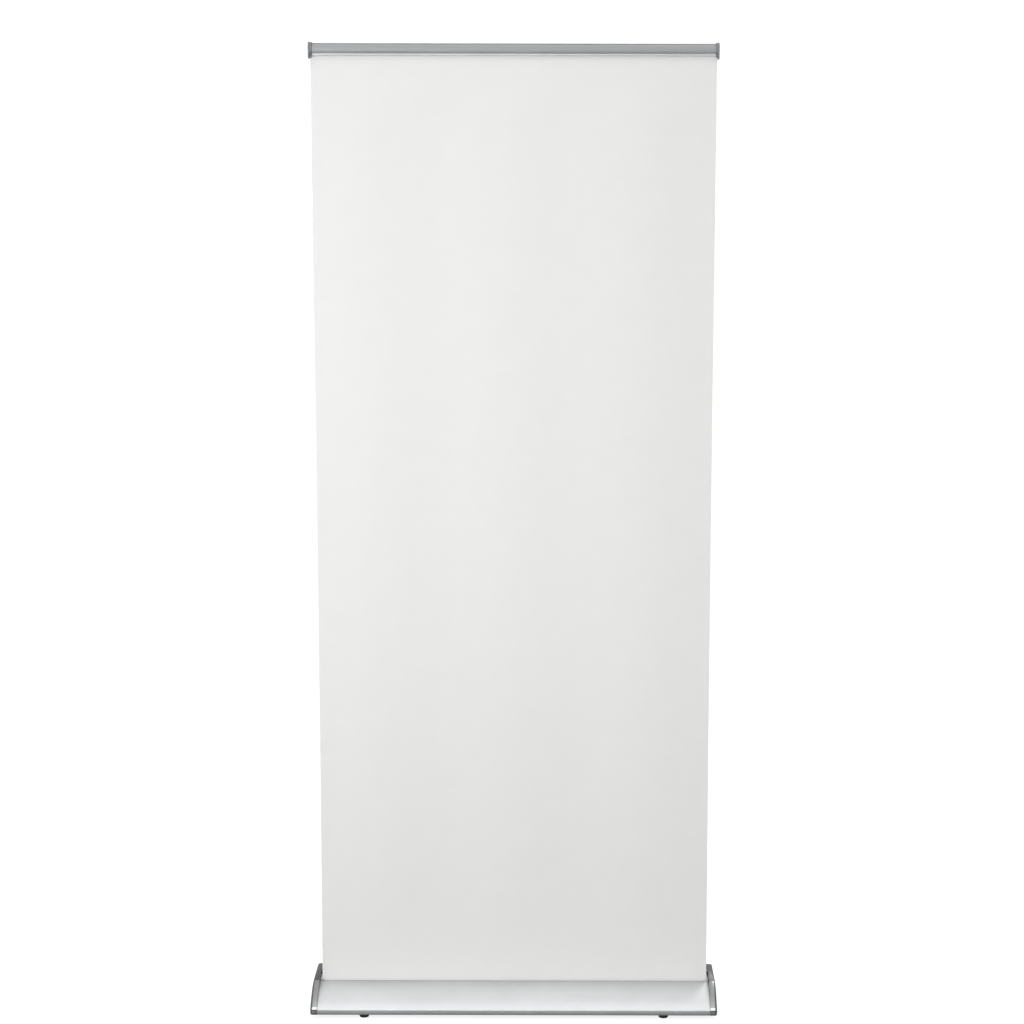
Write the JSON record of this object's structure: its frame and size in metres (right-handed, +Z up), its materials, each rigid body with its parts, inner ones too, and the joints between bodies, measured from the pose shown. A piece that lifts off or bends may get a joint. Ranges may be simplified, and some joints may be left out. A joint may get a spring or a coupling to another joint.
{
  "type": "roll-up banner stand",
  "caption": "Free-standing roll-up banner: wide aluminium base with end caps and a sprung roller, telescopic pole, snap rail and a blank white sheet.",
  "frame": {"origin": "on the floor under the middle of the base", "axes": "+Z up, +X along the base to the right of someone who faces the sheet, and the sheet's front looks along -Y"},
  "size_m": [0.8874, 0.2042, 2.0967],
  "materials": {
    "satin_aluminium": "satin anodised extrusion",
    "rail_aluminium": "satin anodised extrusion",
    "pole_aluminium": "drawn and anodised tube",
    "charcoal_plastic": "glossy moulded plastic",
    "grey_plastic": "moulded plastic",
    "black_plastic": "fine moulded texture",
    "bright_trim": "polished and bright anodised",
    "zinc_steel": "zinc plated",
    "screw_steel": "nickel plated",
    "spring_steel": "oiled spring wire",
    "printed_sheet": "matt white film",
    "foot_rubber": "matt rubber"
  },
  "bodies": {
    "base": {"floor_plate": "zinc_steel", "front_cover": "satin_aluminium", "rear_shell": "satin_aluminium", "end_cap_left": "charcoal_plastic", "end_cap_right": "charcoal_plastic", "trim_strip_left": "bright_trim", "trim_strip_right": "bright_trim", "cap_screw_left_1": "screw_steel", "cap_screw_left_2": "screw_steel", "cap_screw_right_1": "screw_steel", "cap_screw_right_2": "screw_steel", "roller_bracket_left": "zinc_steel", "roller_bracket_right": "zinc_steel", "spring_shaft": "screw_steel", "torsion_spring": "spring_steel", "spring_anchor": "black_plastic", "idle_axle": "screw_steel", "pole_socket": "black_plastic", "pole_lower": "pole_aluminium", "clamp_collar_lower": "black_plastic", "clamp_pin_lower": "screw_steel", "banner_panel": "printed_sheet", "foot_insert_front_left": "zinc_steel", "foot_insert_front_right": "zinc_steel", "foot_insert_rear_left": "zinc_steel", "foot_insert_rear_right": "zinc_steel"},
    "roller": {"roller_tube": "satin_aluminium", "sheet_roll": "printed_sheet", "drive_plug": "black_plastic", "idle_plug": "black_plastic"},
    "lower_lever": {"clamp_lever_lower": "black_plastic"},
    "middle_section": {"pole_middle": "pole_aluminium", "glide_middle": "black_plastic", "clamp_collar_upper": "black_plastic", "clamp_pin_upper": "screw_steel"},
    "upper_lever": {"clamp_lever_upper": "black_plastic"},
    "top_section": {"pole_upper": "pole_aluminium", "glide_upper": "black_plastic", "pole_head": "black_plastic", "rail_back": "rail_aluminium", "rail_cap_left": "grey_plastic", "rail_cap_right": "grey_plastic"},
    "rail_jaw": {"rail_jaw": "rail_aluminium"},
    "foot_front_left": {"foot_pad_front_left": "foot_rubber"},
    "wheel_front_left": {"foot_screw_front_left": "black_plastic"},
    "foot_front_right": {"foot_pad_front_right": "foot_rubber"},
    "wheel_front_right": {"foot_screw_front_right": "black_plastic"},
    "foot_rear_left": {"foot_pad_rear_left": "foot_rubber"},
    "wheel_rear_left": {"foot_screw_rear_left": "black_plastic"},
    "foot_rear_right": {"foot_pad_rear_right": "foot_rubber"},
    "wheel_rear_right": {"foot_screw_rear_right": "black_plastic"}
  },
  "joints": [
    {"name": "middle_slide", "type": "slide", "parent": "base", "child": "middle_section", "axis": [0, 0, -1], "range_m": [0, 0.6], "deforming": ["banner_panel"]},
    {"name": "upper_slide", "type": "slide", "parent": "middle_section", "child": "top_section", "axis": [0, 0, -1], "range_m": [0, 0.6]},
    {"name": "roller_spin", "type": "hinge", "parent": "base", "child": "roller", "pos_m": [0, 0.00355, 0.0362], "axis": [1, 0, 0], "range_deg": [0, 4000]},
    {"name": "lower_lever_flip", "type": "hinge", "parent": "base", "child": "lower_lever", "pos_m": [0, 0.061, 0.72833], "axis": [0, 0, 1], "range_deg": [0, 110]},
    {"name": "upper_lever_flip", "type": "hinge", "parent": "middle_section", "child": "upper_lever", "pos_m": [0, 0.0595, 1.39317], "axis": [0, 0, 1], "range_deg": [0, 110]},
    {"name": "jaw_snap", "type": "hinge", "parent": "top_section", "child": "rail_jaw", "pos_m": [0, -0.0138, 2.0915], "axis": [-1, 0, 0], "range_deg": [0, 35]},
    {"name": "foot_lift_front_left", "type": "slide", "parent": "base", "child": "foot_front_left", "axis": [0, 0, -1], "range_m": [0, 0.01]},
    {"name": "foot_turn_front_left", "type": "hinge", "parent": "foot_front_left", "child": "wheel_front_left", "pos_m": [-0.327, -0.0835, 0], "axis": [0, 0, -1], "range_deg": [0, 2881]},
    {"name": "foot_lift_front_right", "type": "slide", "parent": "base", "child": "foot_front_right", "axis": [0, 0, -1], "range_m": [0, 0.01]},
    {"name": "foot_turn_front_right", "type": "hinge", "parent": "foot_front_right", "child": "wheel_front_right", "pos_m": [0.327, -0.0835, 0], "axis": [0, 0, -1], "range_deg": [0, 2881]},
    {"name": "foot_lift_rear_left", "type": "slide", "parent": "base", "child": "foot_rear_left", "axis": [0, 0, -1], "range_m": [0, 0.01]},
    {"name": "foot_turn_rear_left", "type": "hinge", "parent": "foot_rear_left", "child": "wheel_rear_left", "pos_m": [-0.327, 0.0835, 0], "axis": [0, 0, -1], "range_deg": [0, 2881]},
    {"name": "foot_lift_rear_right", "type": "slide", "parent": "base", "child": "foot_rear_right", "axis": [0, 0, -1], "range_m": [0, 0.01]},
    {"name": "foot_turn_rear_right", "type": "hinge", "parent": "foot_rear_right", "child": "wheel_rear_right", "pos_m": [0.327, 0.0835, 0], "axis": [0, 0, -1], "range_deg": [0, 2881]}
  ],
  "couplings": [
    {"joint": "upper_slide", "follows": "middle_slide", "ratio": 1},
    {"joint": "roller_spin", "follows": "middle_slide", "rad_per_m": 115},
    {"joint": "foot_turn_front_left", "follows": "foot_lift_front_left", "rad_per_m": 5026.5},
    {"joint": "foot_turn_front_right", "follows": "foot_lift_front_right", "rad_per_m": 5026.5},
    {"joint": "foot_turn_rear_left", "follows": "foot_lift_rear_left", "rad_per_m": 5026.5},
    {"joint": "foot_turn_rear_right", "follows": "foot_lift_rear_right", "rad_per_m": 5026.5}
  ]
}
